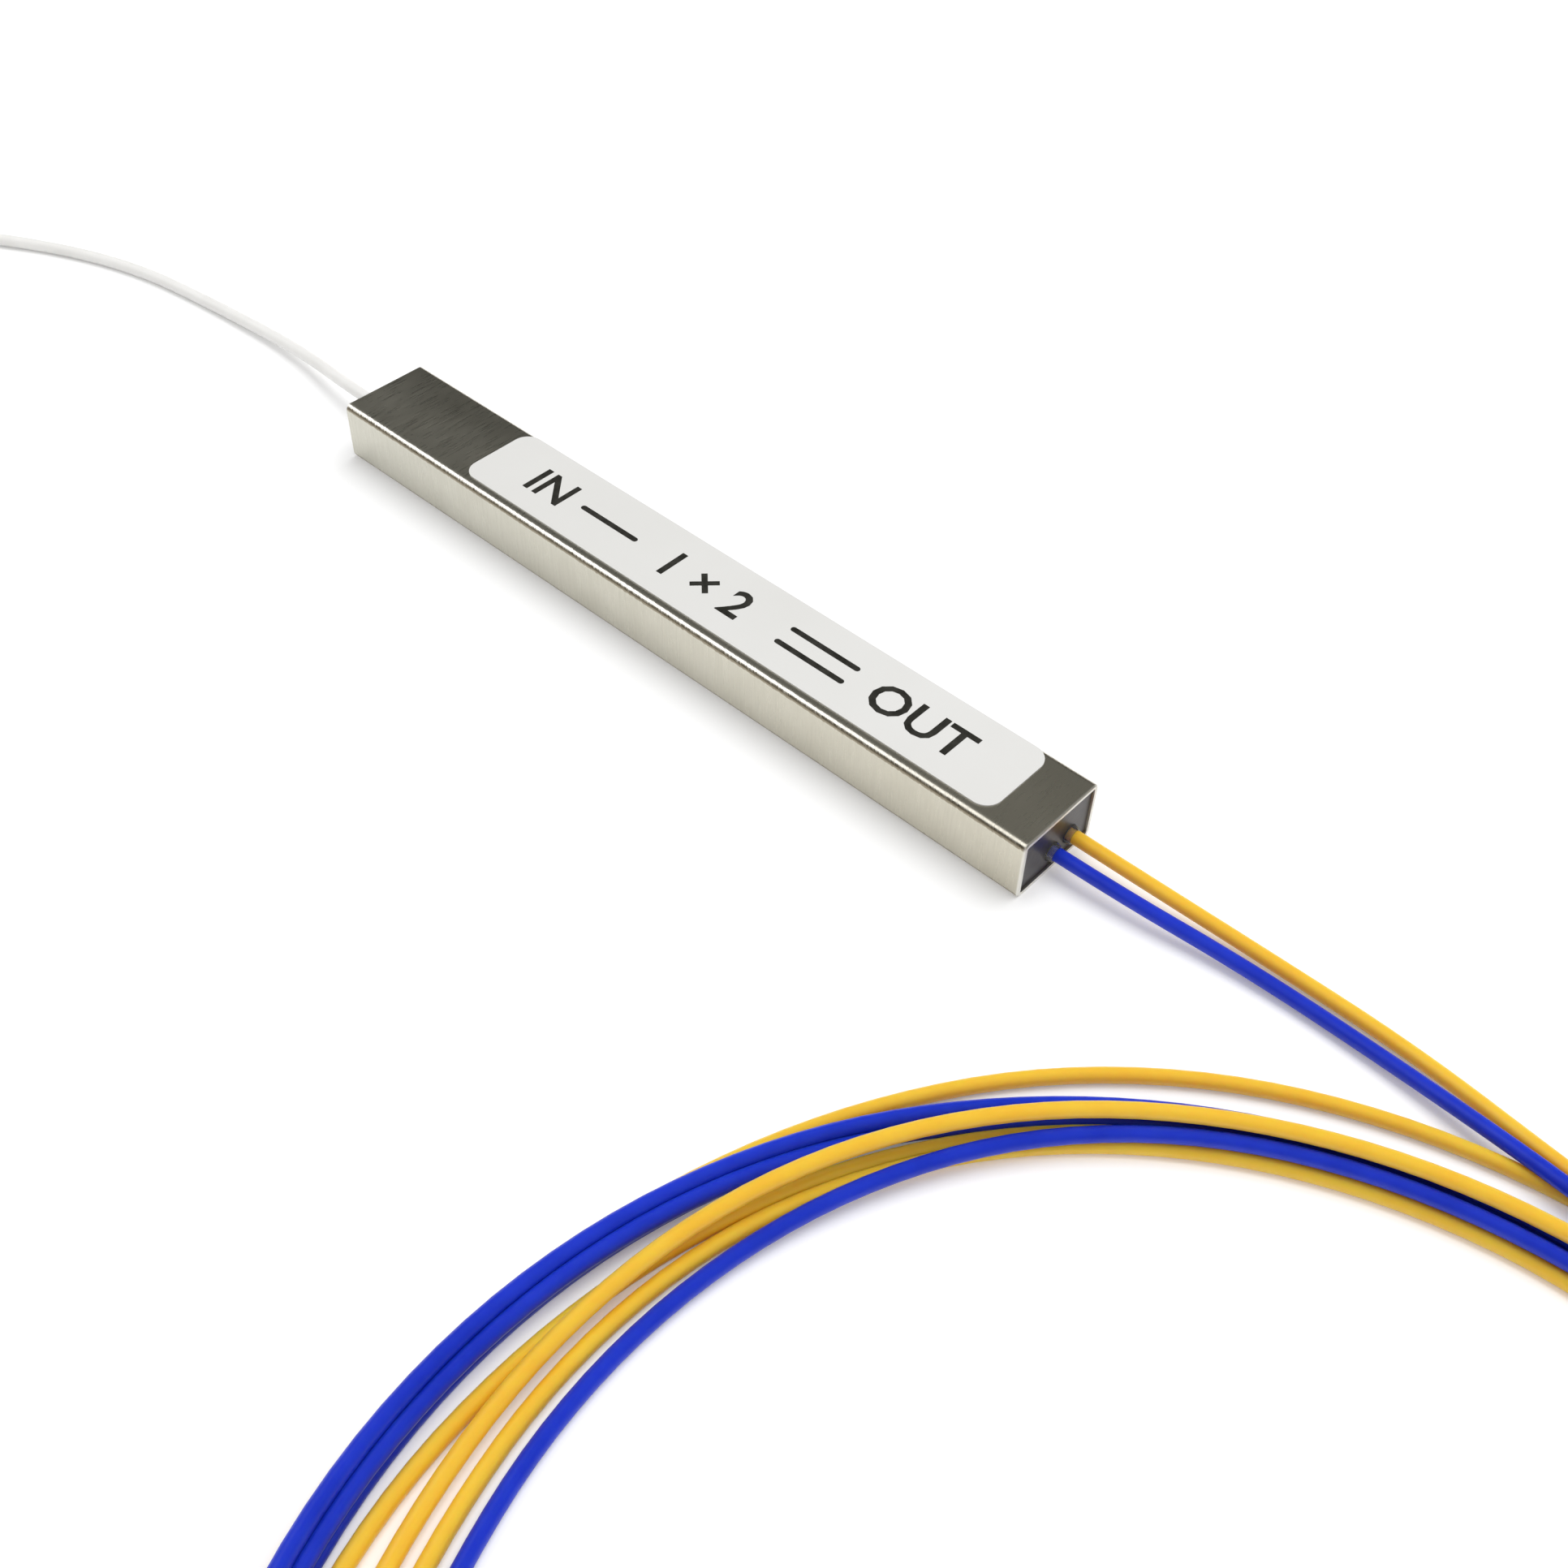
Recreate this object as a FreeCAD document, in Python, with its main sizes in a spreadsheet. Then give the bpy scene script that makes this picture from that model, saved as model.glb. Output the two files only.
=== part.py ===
import FreeCAD, Part
import math
import os

import Sketcher

# A 1 x 2 planar lightwave circuit splitter: a waveguide chip and its two fibre arrays lie on a soft bed in
# a rectangular stainless tube, cast plugs close the tube's ends, and three 0.9 mm loose-tube leads come out.
# +X runs from the single input lead's end to the two output leads' end, +Z is up, and the origin is the
# middle of the tube's underside. Lengths are in millimetres and angles in degrees.

Vector = FreeCAD.Vector
ORIGIN_POINT = (-1, 1)  # the sketch origin, as a Sketcher constraint names it
INPUT, OUTPUT = -1, 1  # the two ends, by the sign of their X
STRAIGHT = 1e-6  # a turn, in radians, that is too small for an arc

SIZES = {
    "tube_length": 60.0,
    "tube_width": 7.0,
    "tube_height": 4.4,
    "tube_wall": 0.3,
    "tube_corner": 0.45,
    "tube_edge_break": 0.08,
    "label_length": 45.2,
    "label_width": 6.0,
    "label_thickness": 0.08,
    "label_corner": 1.15,
    "label_end_gap": 3.15,
    "label_shift_y": 0.24,
    "plug_length": 5.0,
    "plug_recess": 0.15,
    "lead_diameter": 0.9,
    "lead_inset": 3.8,
    "lead_straight": 3.6,
    "white_exit_y": 0.0,
    "white_exit_z": 2.0,
    "blue_exit_y": -0.25,
    "blue_exit_z": 1.4,
    "orange_exit_y": 1.45,
    "orange_exit_z": 1.55,
    "bead_foot": 1.3,
    "bead_lip": 0.06,
    "bead_length": 0.4,
    "chip_length": 10.0,
    "chip_width": 2.5,
    "chip_lid_length": 3.0,
    "substrate_thickness": 1.0,
    "lid_thickness": 1.0,
    "polish_angle": 8.0,
    "joint_film": 0.05,
    "joint_overhang": 0.15,
    "array_length": 8.5,
    "array_front": 4.5,
    "groove_pitch": 0.25,
    "groove_angle": 60.0,
    "fibre_rise": 0.02,
    "bare_diameter": 0.125,
    "coated_diameter": 0.25,
    "strip_margin": 0.3,
    "seat_clearance": 0.003,
    "array_glue_radius": 0.7,
    "array_glue_length": 3.2,
    "bed_thickness": 0.7,
    "bed_width": 3.2,
    "bed_margin": 0.6,
    "bed_corner": 0.4,
    "output_coil_x": 68.7,
    "output_coil_y": -40.6,
    "output_coil_outside": 81.8,
    "output_coil_width": 5.8,
    "output_coil_height": 2.9,
    "white_coil_x": -72.4,
    "white_coil_y": -26.0,
    "white_coil_outside": 28.8,
    "white_coil_width": 3.8,
    "white_coil_height": 2.85,
    "tie_thickness": 0.2,
    "tie_arc": 12.0,
    "tie_place": 250.0,
}

# Derived lengths, as expressions on the sheet's cells.
HALF_TUBE = "sizes.tube_length / 2"
BORE_WIDTH = "(sizes.tube_width - 2 * sizes.tube_wall)"
BORE_HEIGHT = "(sizes.tube_height - 2 * sizes.tube_wall)"
BORE_CORNER = "(sizes.tube_corner - sizes.tube_wall)"
CORE_Z = "(sizes.tube_wall + sizes.bed_thickness + sizes.substrate_thickness)"
SLOPE = "tan(sizes.polish_angle)"
CHIP_HALF = "sizes.chip_length / 2"
ARRAY_FACE = "(sizes.chip_length / 2 + sizes.joint_film)"
ARRAY_STEP = "(sizes.coated_diameter / 2 + 3 * sizes.seat_clearance)"
FIBRE_TOP = "(sizes.bare_diameter / 2 + sizes.seat_clearance)"
COIL_EDGE = "(sizes.lead_diameter / 2)"

# Where each lead runs once it is out of its plug, as chosen points (x, y, height of its middle).
WHITE_ROUTE = [
    (-42.6, 1.4, 0.8),
    (-52.4, 0.9, 0.45),
    (-62.2, -0.3, 0.45),
    (-71.4, -4.2, 0.45),
    (-79.0, -10.0, 0.8),
    (-84.6, -19.4, 1.1),
]
BLUE_ROUTE = [
    (42.6, 0.95, 0.62),
    (51.6, 0.85, 0.6),
    (60.2, -0.05, 1.3),
    (69.4, -1.7, 1.8),
]
ORANGE_ROUTE = [
    (42.5, 2.3, 0.6),
    (52.0, 2.4, 0.45),
    (61.4, 0.9, 0.95),
    (70.4, -0.6, 1.6),
]

doc = FreeCAD.newDocument("plc_splitter")
sheet = doc.addObject("Spreadsheet::Sheet", "sizes")
for row, (alias, number) in enumerate(SIZES.items(), start=1):
    sheet.set(f"A{row}", alias)
    sheet.set(f"B{row}", str(number))
    sheet.setAlias(f"B{row}", alias)
doc.recompute()

sub_parts = []


def size(expression):
    """A length worked out from the sheet, for shapes that are made in code."""
    return float(sheet.evalExpression(expression))


def bind(thing, **expressions):
    """Ties a feature's properties to expressions on the sheet."""
    for name, expression in expressions.items():
        thing.setExpression(name, expression)


def place(thing, x="0", y="0", z="0"):
    """Ties a sub-part's position to expressions on the sheet."""
    for axis, expression in zip("xyz", (x, y, z)):
        thing.setExpression(f"Placement.Base.{axis}", expression)


def new_body(label):
    """An empty body that will be written out as a sub-part."""
    body = doc.addObject("PartDesign::Body", label)
    body.Label = label
    sub_parts.append(body)
    return body


def new_sketch(body, plane):
    """A sketch on one of the body's own origin planes."""
    sketch = body.newObject("Sketcher::SketchObject", f"{body.Name}_sketch")
    support = next(o for o in body.Origin.OriginFeatures if o.Role == plane)
    sketch.AttachmentSupport = (support, "")
    sketch.MapMode = "FlatFace"
    return sketch


def dimension(sketch, kind, place_in_sketch, expression):
    """One driving dimension of a sketch, tied to the sheet."""
    start = sketch.evalExpression(expression)
    index = sketch.addConstraint(Sketcher.Constraint(kind, *place_in_sketch, float(start)))
    sketch.setExpression(f"Constraints[{index}]", expression)


def fix_point(sketch, edge, end, x, y):
    """Dimensions one point of a sketch from the sketch's origin."""
    dimension(sketch, "DistanceX", (*ORIGIN_POINT, edge, end), x)
    dimension(sketch, "DistanceY", (*ORIGIN_POINT, edge, end), y)


def draw_polygon(sketch, corners):
    """A closed outline of straight edges through corners given as expressions."""
    points = [Vector(*(float(sketch.evalExpression(e)) for e in corner), 0) for corner in corners]
    first = sketch.GeometryCount
    count = len(points)
    for index, point in enumerate(points):
        sketch.addGeometry(Part.LineSegment(point, points[(index + 1) % count]))
    for index, corner in enumerate(corners):
        following = first + (index + 1) % count
        sketch.addConstraint(Sketcher.Constraint("Coincident", first + index, 2, following, 1))
        fix_point(sketch, first + index, 1, *corner)


def draw_rounded_box(sketch, width, height, radius, middle_x="0", middle_y="0"):
    """A closed rectangle with rounded corners, about a middle, from expressions."""
    w, h, r, x, y = (float(sketch.evalExpression(e)) for e in (width, height, radius, middle_x, middle_y))
    first = sketch.GeometryCount
    left, right, low, high = x - w / 2, x + w / 2, y - h / 2, y + h / 2
    sides = [
        ((left + r, low), (right - r, low)),
        ((right, low + r), (right, high - r)),
        ((right - r, high), (left + r, high)),
        ((left, high - r), (left, low + r)),
    ]
    middles = [(right - r, low + r), (right - r, high - r), (left + r, high - r), (left + r, low + r)]
    for start, end in sides:
        sketch.addGeometry(Part.LineSegment(Vector(*start, 0), Vector(*end, 0)))
    for quarter, middle in enumerate(middles):
        circle = Part.Circle(Vector(*middle, 0), Vector(0, 0, 1), r)
        start = (quarter - 1) * math.pi / 2
        sketch.addGeometry(Part.ArcOfCircle(circle, start, start + math.pi / 2))
    for side in range(4):
        line, arc, following = first + side, first + 4 + side, first + (side + 1) % 4
        sketch.addConstraint(Sketcher.Constraint("Tangent", line, 2, arc, 1))
        sketch.addConstraint(Sketcher.Constraint("Tangent", arc, 2, following, 1))
        sketch.addConstraint(Sketcher.Constraint("Vertical" if side % 2 else "Horizontal", line))
    for arc in range(first + 5, first + 8):
        sketch.addConstraint(Sketcher.Constraint("Equal", first + 4, arc))
    dimension(sketch, "Radius", (first + 4,), radius)
    dimension(sketch, "DistanceX", (*ORIGIN_POINT, first + 1, 1), f"{middle_x} + {width} / 2")
    dimension(sketch, "DistanceX", (*ORIGIN_POINT, first + 3, 1), f"{middle_x} - {width} / 2")
    dimension(sketch, "DistanceY", (*ORIGIN_POINT, first, 1), f"{middle_y} - {height} / 2")
    dimension(sketch, "DistanceY", (*ORIGIN_POINT, first + 2, 1), f"{middle_y} + {height} / 2")


def draw_chamfered_box(sketch, width, height, edge, middle_x, middle_y):
    """A closed rectangle with its corners cut off at 45 degrees, about a middle, from expressions."""
    corners = []
    for across, up, first in ((1, -1, "y"), (1, 1, "x"), (-1, 1, "y"), (-1, -1, "x")):
        cuts = (("0", edge), (edge, "0")) if first == "x" else ((edge, "0"), ("0", edge))
        for cut_x, cut_y in cuts:
            x = f"{middle_x} + {across} * ({width} / 2 - {cut_x})"
            corners.append((x, f"{middle_y} + {up} * ({height} / 2 - {cut_y})"))
    draw_polygon(sketch, corners)


def draw_circle(sketch, diameter, x, y):
    """A circle about a middle, from expressions."""
    middle = Vector(float(sketch.evalExpression(x)), float(sketch.evalExpression(y)), 0)
    radius = float(sketch.evalExpression(diameter)) / 2
    circle = sketch.addGeometry(Part.Circle(middle, Vector(0, 0, 1), radius))
    fix_point(sketch, circle, 3, x, y)
    dimension(sketch, "Diameter", (circle,), diameter)


def add_pad(body, sketch, length, symmetric=False, back=False):
    """Extrudes a sketch by a length."""
    pad = body.newObject("PartDesign::Pad", f"{body.Name}_pad")
    pad.Profile = sketch
    pad.SideType = "Symmetric" if symmetric else "One side"
    pad.Reversed = back
    bind(pad, Length=length)
    return pad


def add_pocket(body, sketch, length, symmetric=False, back=False):
    """Cuts a sketch's outline into the body and checks that it took something away."""
    doc.recompute()
    before = body.Shape.Volume
    pocket = body.newObject("PartDesign::Pocket", f"{body.Name}_pocket")
    pocket.Profile = sketch
    pocket.SideType = "Symmetric" if symmetric else "One side"
    pocket.Reversed = back
    bind(pocket, Length=length)
    doc.recompute()
    if not body.Shape.Volume < before:
        raise ValueError(f"{pocket.Name} cuts nothing")


def make_steel_tube():
    """The drawn rectangular tube, with its cut ends deburred."""
    body = new_body("steel_tube")
    sketch = new_sketch(body, "YZ_Plane")
    middle = "sizes.tube_height / 2"
    draw_rounded_box(sketch, "sizes.tube_width", "sizes.tube_height", "sizes.tube_corner", middle_y=middle)
    draw_rounded_box(sketch, BORE_WIDTH, BORE_HEIGHT, BORE_CORNER, middle_y=middle)
    pad = add_pad(body, sketch, "sizes.tube_length", symmetric=True)
    doc.recompute()
    end_faces = [f for f in pad.Shape.Faces if abs(f.CenterOfMass.x) > size(HALF_TUBE) - 1e-6]
    rims = [e for face in end_faces for e in max(face.Wires, key=lambda wire: wire.Length).Edges]
    names = [f"Edge{i}" for i, e in enumerate(pad.Shape.Edges, start=1) if any(e.isSame(r) for r in rims)]
    chamfer = body.newObject("PartDesign::Chamfer", "tube_deburr")
    chamfer.Base = (pad, names)
    bind(chamfer, Size="sizes.tube_edge_break")


def make_label():
    """The printed sticker on the tube's top face, put on nearer the far long edge."""
    body = new_body("label")
    sketch = new_sketch(body, "XY_Plane")
    draw_rounded_box(sketch, "sizes.label_length", "sizes.label_width", "sizes.label_corner")
    add_pad(body, sketch, "sizes.label_thickness")
    middle_x = f"{HALF_TUBE} - sizes.label_end_gap - sizes.label_length / 2"
    place(body, middle_x, "sizes.label_shift_y", "sizes.tube_height")


def make_plug(label, end, leads):
    """The cast plug that closes one end of the tube, bored for its leads and, deeper, for their fibres."""
    body = new_body(label)
    sketch = new_sketch(body, "YZ_Plane")
    draw_rounded_box(sketch, BORE_WIDTH, BORE_HEIGHT, BORE_CORNER, middle_y="sizes.tube_height / 2")
    add_pad(body, sketch, "sizes.plug_length", back=end == OUTPUT)
    bores = (
        ("sizes.lead_diameter", "sizes.lead_inset - sizes.plug_recess"),
        ("sizes.coated_diameter", "sizes.plug_length"),
    )
    for diameter, depth in bores:
        sketch = new_sketch(body, "YZ_Plane")
        for lead in leads:
            draw_circle(sketch, diameter, f"sizes.{lead}_exit_y", f"sizes.{lead}_exit_z")
        add_pocket(body, sketch, depth, back=end == INPUT)
    place(body, x=f"{end} * ({HALF_TUBE} - sizes.plug_recess)")


def make_bead(lead, end):
    """The small clear collar of adhesive where a lead leaves its plug."""
    cone = doc.addObject("Part::Cone", f"{lead}_bead_cone")
    bind(cone, Radius1="sizes.bead_foot / 2", Height="sizes.bead_length")
    bind(cone, Radius2="sizes.lead_diameter / 2 + sizes.bead_lip")
    bore = doc.addObject("Part::Cylinder", f"{lead}_bead_bore")
    bind(bore, Radius="sizes.lead_diameter / 2", Height="sizes.bead_length")
    bead = doc.addObject("Part::Cut", f"{lead}_lead_bead")
    bead.Label = f"{lead}_lead_bead"
    bead.Base = cone
    bead.Tool = bore
    bead.Placement = FreeCAD.Placement(Vector(), FreeCAD.Rotation(Vector(0, 1, 0), end * 90))
    x = f"{end} * ({HALF_TUBE} - sizes.plug_recess)"
    place(bead, x, f"sizes.{lead}_exit_y", f"sizes.{lead}_exit_z")
    sub_parts.append(bead)


def make_slab(label, corners, width="sizes.chip_width"):
    """A block with the given outline in XZ, across the chip; heights are from the waveguide plane."""
    body = new_body(label)
    sketch = new_sketch(body, "XZ_Plane")
    draw_polygon(sketch, corners)
    add_pad(body, sketch, width, symmetric=True)
    place(body, z=CORE_Z)
    return body


def on_face(end, distance, height):
    """A corner on a polished face, which leans in towards the chip's middle as it rises."""
    return (f"{end} * ({distance} - ({height}) * {SLOPE})", height)


def make_chip():
    """The silica-on-silicon waveguide chip, polished at both ends, with a glass lid over each end."""
    below, above = "-sizes.substrate_thickness", "sizes.lid_thickness"
    corners = [
        on_face(INPUT, CHIP_HALF, below),
        on_face(OUTPUT, CHIP_HALF, below),
        on_face(OUTPUT, CHIP_HALF, "0"),
        on_face(INPUT, CHIP_HALF, "0"),
    ]
    make_slab("chip_substrate", corners)
    for label, end in (("chip_input_lid", INPUT), ("chip_output_lid", OUTPUT)):
        inner_x = f"{end} * ({CHIP_HALF} - sizes.chip_lid_length)"
        corners = [(inner_x, "0"), on_face(end, CHIP_HALF, "0"), on_face(end, CHIP_HALF, above), (inner_x, above)]
        make_slab(label, corners)


def make_joint(label, end):
    """The film of cured adhesive between the chip and an array, squeezed out a little around the seam."""
    below, above = "-sizes.substrate_thickness", "sizes.lid_thickness + sizes.joint_overhang"
    corners = [
        on_face(end, CHIP_HALF, below),
        on_face(end, ARRAY_FACE, below),
        on_face(end, ARRAY_FACE, above),
        on_face(end, CHIP_HALF, above),
    ]
    make_slab(label, corners, "sizes.chip_width + 2 * sizes.joint_overhang")


def make_array(name, end, lanes):
    """A fibre array: a V-grooved base, the lid that presses the bare fibres down, and its rear adhesive."""
    step_x = f"{end} * ({ARRAY_FACE} + sizes.array_front)"
    rear_x = f"{end} * ({ARRAY_FACE} + sizes.array_length)"
    below, groove_top, step = "-sizes.substrate_thickness", "-sizes.fibre_rise", f"-{ARRAY_STEP}"
    corners = [
        on_face(end, ARRAY_FACE, below),
        on_face(end, ARRAY_FACE, groove_top),
        (step_x, groove_top),
        (step_x, step),
        (rear_x, step),
        (rear_x, below),
    ]
    base = make_slab(f"{name}_array_base", corners)
    cut_v_grooves(base, lanes)
    above = "sizes.lid_thickness"
    corners = [
        on_face(end, ARRAY_FACE, FIBRE_TOP),
        on_face(end, ARRAY_FACE, above),
        (step_x, above),
        (step_x, FIBRE_TOP),
    ]
    make_slab(f"{name}_array_lid", corners)
    make_array_glue(name, end, step_x, lanes)


def cut_v_grooves(base, lanes):
    """Cuts one V-groove for each lane, deep enough that a bare fibre sits on both of its walls."""
    sketch = new_sketch(base, "YZ_Plane")
    half_angle = "(sizes.groove_angle / 2)"
    root = f"(-{FIBRE_TOP} / sin({half_angle}))"
    half_mouth = f"(-{root} * tan({half_angle}))"
    for lane in lanes:
        middle = f"({lane} * sizes.groove_pitch)"
        draw_polygon(sketch, [(middle, root), (f"{middle} + {half_mouth}", "0"), (f"{middle} - {half_mouth}", "0")])
    add_pocket(base, sketch, "2 * sizes.tube_length", symmetric=True)


def make_array_glue(name, end, step_x, lanes):
    """The rounded ridge of adhesive that holds the coated fibres on the array's rear step."""
    body = new_body(f"{name}_array_glue")
    sketch = new_sketch(body, "YZ_Plane")
    radius = size("sizes.array_glue_radius")
    foot = f"-{ARRAY_STEP}"
    middle = Vector(0, size(foot), 0)
    arc = sketch.addGeometry(Part.ArcOfCircle(Part.Circle(middle, Vector(0, 0, 1), radius), 0, math.pi))
    chord = sketch.addGeometry(Part.LineSegment(middle - Vector(radius, 0, 0), middle + Vector(radius, 0, 0)))
    sketch.addConstraint(Sketcher.Constraint("Coincident", arc, 2, chord, 1))
    sketch.addConstraint(Sketcher.Constraint("Coincident", chord, 2, arc, 1))
    sketch.addConstraint(Sketcher.Constraint("Horizontal", chord))
    fix_point(sketch, arc, 3, "0", foot)
    dimension(sketch, "Radius", (arc,), "sizes.array_glue_radius")
    add_pad(body, sketch, "sizes.array_glue_length", back=end == INPUT)
    bores = new_sketch(body, "YZ_Plane")
    if len(lanes) == 1:
        draw_circle(bores, "sizes.coated_diameter", "0", "0")
    else:
        draw_rounded_box(
            bores,
            f"({len(lanes) - 1} * sizes.groove_pitch + sizes.coated_diameter)",
            "sizes.coated_diameter",
            "(sizes.coated_diameter / 2 - sizes.seat_clearance)",
        )
    add_pocket(body, bores, "sizes.array_glue_length", back=end == OUTPUT)
    place(body, x=step_x, z=CORE_Z)


def make_bed():
    """The soft silicone bed that cushions the chip and arrays from the tube."""
    body = new_body("chip_bed")
    sketch = new_sketch(body, "XY_Plane")
    length = f"(2 * ({ARRAY_FACE} + sizes.array_length + sizes.bed_margin))"
    draw_rounded_box(sketch, length, "sizes.bed_width", "sizes.bed_corner")
    add_pad(body, sketch, "sizes.bed_thickness")
    place(body, z="sizes.tube_wall")


def rounded_path(points):
    """A wire of straight runs joined by tangent arcs, and the arcs' radii."""
    points = [Vector(*p) for p in points]
    edges, radii, start = [], [], points[0]
    for before, corner, after in zip(points, points[1:], points[2:]):
        inward, outward = (corner - before).normalize(), (after - corner).normalize()
        turn = inward.getAngle(outward)
        if turn < STRAIGHT:
            continue
        reach = 0.45 * min((corner - before).Length, (after - corner).Length)
        radius = reach / math.tan(turn / 2)
        first, last = corner - inward * reach, corner + outward * reach
        towards_centre = (outward - inward).normalize()
        middle = corner + towards_centre * (radius / math.cos(turn / 2) - radius)
        edges += [Part.LineSegment(start, first).toShape(), Part.Arc(first, middle, last).toShape()]
        radii.append(radius)
        start = last
    edges.append(Part.LineSegment(start, points[-1]).toShape())
    return Part.Wire(edges), radii


def round_sweep(points, diameter):
    """A round solid along a route, its length and its radii; the volume has to match the length."""
    wire, radii = rounded_path(points)
    direction = Vector(*points[1]) - Vector(*points[0])
    section = Part.Wire(Part.Circle(Vector(*points[0]), direction, diameter / 2).toShape())
    solid = wire.makePipeShell([section], True, False)
    expected = math.pi * diameter**2 / 4 * wire.Length
    if not math.isclose(solid.Volume, expected, rel_tol=0.01):
        raise ValueError(f"sweep volume {solid.Volume:.3f} isn't {expected:.3f}")
    return solid, wire.Length, radii


def add_shape(label, shape):
    """A sub-part whose shape is made in code, in place."""
    feature = doc.addObject("Part::Feature", label)
    feature.Label = label
    feature.Shape = shape
    feature.Placement = FreeCAD.Placement()
    sub_parts.append(feature)


def exit_point(lead, end, outside):
    """A point on a lead's bore axis, a distance outside the tube's end."""
    return (
        end * (size(HALF_TUBE) + outside),
        size(f"sizes.{lead}_exit_y"),
        size(f"sizes.{lead}_exit_z"),
    )


def make_fibre(label, lead, end, lane):
    """One fibre, bare in its V-groove and coated from there to the start of its lead."""
    core_z = size(CORE_Z)
    lane_y = lane * size("sizes.groove_pitch")
    strip = size(f"{ARRAY_FACE} + sizes.array_front + sizes.strip_margin")
    rear = size(f"{ARRAY_FACE} + sizes.array_length")
    inner_end = exit_point(lead, end, -size("sizes.lead_inset"))
    before_plug = exit_point(lead, end, -size("sizes.plug_length + sizes.plug_recess + sizes.strip_margin"))
    bend = 0.3 * (abs(before_plug[0]) - rear)
    route = [
        (end * strip, lane_y, core_z),
        (end * (rear + bend), lane_y, core_z),
        (before_plug[0] - end * bend, *before_plug[1:]),
        inner_end,
    ]
    coated = round_sweep(route, size("sizes.coated_diameter"))[0]
    face = size(f"{ARRAY_FACE}")
    bare_radius = size("sizes.bare_diameter / 2")
    start = Vector(end * (face - bare_radius), lane_y, core_z)
    bare = Part.makeCylinder(bare_radius, strip - face + bare_radius, start, Vector(end, 0, 0))
    polish = Part.makeBox(1, 1, 2, Vector(-1 if end == OUTPUT else 0, -0.5, -1))
    polish.rotate(Vector(), Vector(0, 1, 0), -end * size("sizes.polish_angle"))
    polish.translate(Vector(end * face, lane_y, core_z))
    add_shape(label, coated.fuse(bare.cut(polish)).removeSplitter())


def make_coil(label, name, lift):
    """The outer shape of a coil of lead, a ring of rounded section that lies flat."""
    body = new_body(label)
    sketch = new_sketch(body, "XZ_Plane")
    width, height = f"sizes.{name}_coil_width", f"sizes.{name}_coil_height"
    middle = f"((sizes.{name}_coil_outside - {width}) / 2)"
    draw_chamfered_box(sketch, width, height, COIL_EDGE, middle, f"({lift} + {height} / 2)")
    revolution = body.newObject("PartDesign::Revolution", f"{label}_ring")
    revolution.Profile = sketch
    revolution.ReferenceAxis = (sketch, ["V_Axis"])
    revolution.Angle = 360
    place(body, f"sizes.{name}_coil_x", f"sizes.{name}_coil_y")
    return body


def make_coil_tie():
    """The soft band around the put-away coil of the input lead."""
    body = new_body("white_coil_tie")
    sketch = new_sketch(body, "XZ_Plane")
    middle = "((sizes.white_coil_outside - sizes.white_coil_width) / 2)"
    level = "(sizes.tie_thickness + sizes.white_coil_height / 2)"
    outer_width = "(sizes.white_coil_width + 2 * sizes.tie_thickness)"
    outer_height = "(sizes.white_coil_height + 2 * sizes.tie_thickness)"
    draw_chamfered_box(sketch, outer_width, outer_height, COIL_EDGE, middle, level)
    draw_chamfered_box(sketch, "sizes.white_coil_width", "sizes.white_coil_height", COIL_EDGE, middle, level)
    revolution = body.newObject("PartDesign::Revolution", "tie_band")
    revolution.Profile = sketch
    revolution.ReferenceAxis = (sketch, ["V_Axis"])
    bind(revolution, Angle="sizes.tie_arc")
    body.Placement = FreeCAD.Placement(Vector(), FreeCAD.Rotation(Vector(0, 0, 1), 1))
    bind(body, **{"Placement.Rotation.Angle": "sizes.tie_place"})
    place(body, "sizes.white_coil_x", "sizes.white_coil_y")


def make_lead(lead, end, route, coil):
    """The loose stretch of one lead, from inside its plug to where it goes into its coil."""
    straight = exit_point(lead, end, size("sizes.lead_straight"))
    start = exit_point(lead, end, -size("sizes.lead_inset"))
    tube, length, radii = round_sweep([start, straight, *route], size("sizes.lead_diameter"))
    outside_coil = tube.cut(coil.Shape)
    piece = max(outside_coil.Solids, key=lambda solid: solid.Volume)
    add_shape(f"{lead}_lead", piece)
    print(f"{lead}_lead: {length:.1f} mm of path, arc radii", [round(r, 1) for r in radii])


make_steel_tube()
make_label()
make_plug("input_end_plug", INPUT, ["white"])
make_plug("output_end_plug", OUTPUT, ["blue", "orange"])
for lead_name, lead_end in (("white", INPUT), ("blue", OUTPUT), ("orange", OUTPUT)):
    make_bead(lead_name, lead_end)
make_bed()
make_chip()
make_joint("input_joint", INPUT)
make_joint("output_joint", OUTPUT)
make_array("input", INPUT, [0])
make_array("output", OUTPUT, [-0.5, 0.5])
make_fibre("input_fibre", "white", INPUT, 0)
make_fibre("output_fibre_blue", "blue", OUTPUT, -0.5)
make_fibre("output_fibre_orange", "orange", OUTPUT, 0.5)
white_coil = make_coil("white_lead_coil", "white", "sizes.tie_thickness")
output_coil = make_coil("output_lead_coil", "output", "0")
make_coil_tie()
doc.recompute()
make_lead("white", INPUT, WHITE_ROUTE, white_coil)
make_lead("blue", OUTPUT, BLUE_ROUTE, output_coil)
make_lead("orange", OUTPUT, ORANGE_ROUTE, output_coil)
doc.recompute()

for thing in doc.Objects:
    if {"Invalid", "Error"} & set(thing.State):
        raise ValueError(f"{thing.Name} did not compute: {thing.State}")
for thing in sub_parts:
    if thing.Shape.isNull() or not thing.Shape.isValid() or not thing.Shape.Solids:
        raise ValueError(f"{thing.Label} has no valid solid")

os.makedirs("parts", exist_ok=True)
for thing in sub_parts:
    thing.Shape.exportStep(f"parts/{thing.Label}.step")
    print(f"{thing.Label}: {len(thing.Shape.Solids)} solid, {thing.Shape.Volume:.3f} mm3")
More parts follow.
